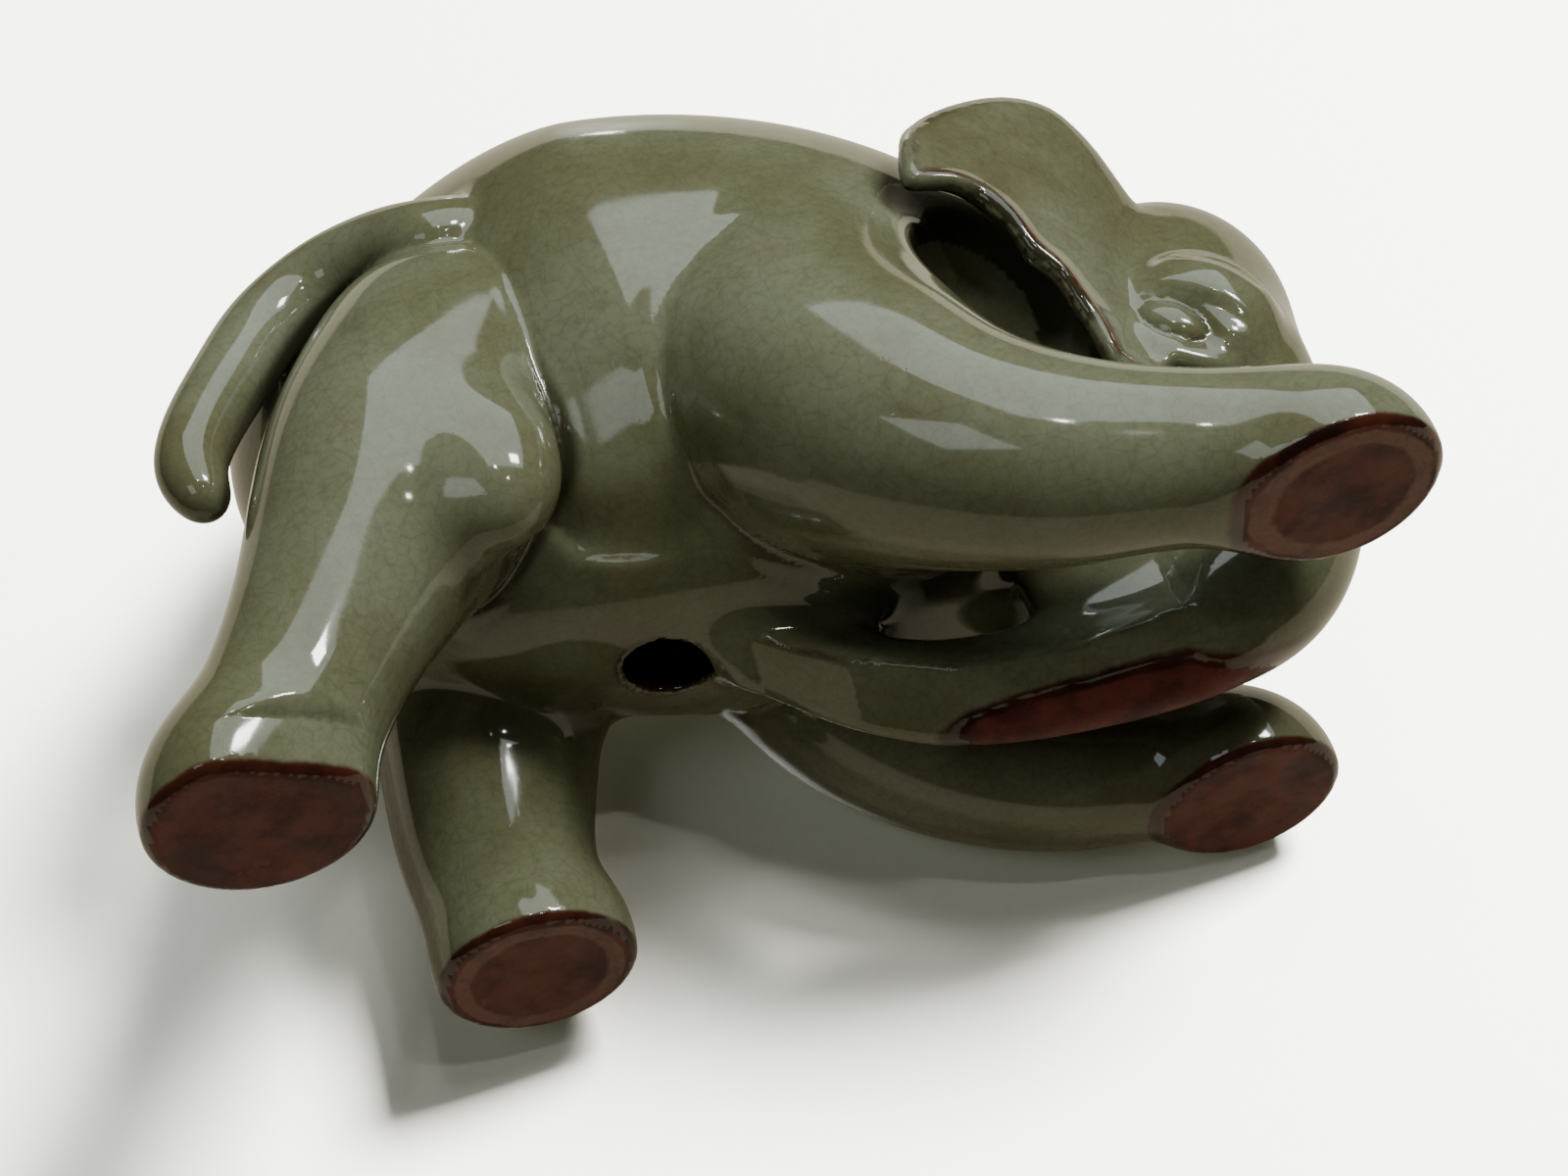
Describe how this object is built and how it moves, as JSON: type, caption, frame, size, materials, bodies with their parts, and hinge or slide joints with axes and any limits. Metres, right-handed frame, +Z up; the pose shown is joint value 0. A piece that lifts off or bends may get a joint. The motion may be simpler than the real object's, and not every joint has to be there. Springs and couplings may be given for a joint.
{
  "type": "elephant figurine",
  "caption": "Hollow celadon-glazed ceramic elephant striding with its head low and its trunk curled back under the belly, on bare clay soles.",
  "frame": {"origin": "on the ground, under the centre of the whole figure's box", "axes": "+X forwards from tail to head, +Y to the elephant's left, +Z up"},
  "size_m": [0.1038, 0.0576, 0.0735],
  "materials": {
    "celadon_glaze": "glossy grey-green crackled glaze, brown where it thins on edges",
    "eye_glaze": "glossy pooled glaze",
    "bare_clay": "unglazed iron-red clay, worn paler at the rim"
  },
  "bodies": {
    "root": {"body_right_half": "celadon_glaze", "body_left_half": "celadon_glaze", "head": "celadon_glaze", "lower_lip": "celadon_glaze", "trunk": "celadon_glaze", "ear_right": "celadon_glaze", "ear_left": "celadon_glaze", "tail": "celadon_glaze", "front_leg_right": "celadon_glaze", "front_leg_left": "celadon_glaze", "rear_leg_right": "celadon_glaze", "rear_leg_left": "celadon_glaze", "sole_front_right": "bare_clay", "sole_front_left": "bare_clay", "sole_rear_right": "bare_clay", "sole_rear_left": "bare_clay", "trunk_rest": "bare_clay", "eye_right": "eye_glaze", "eye_left": "eye_glaze"}
  },
  "joints": []
}
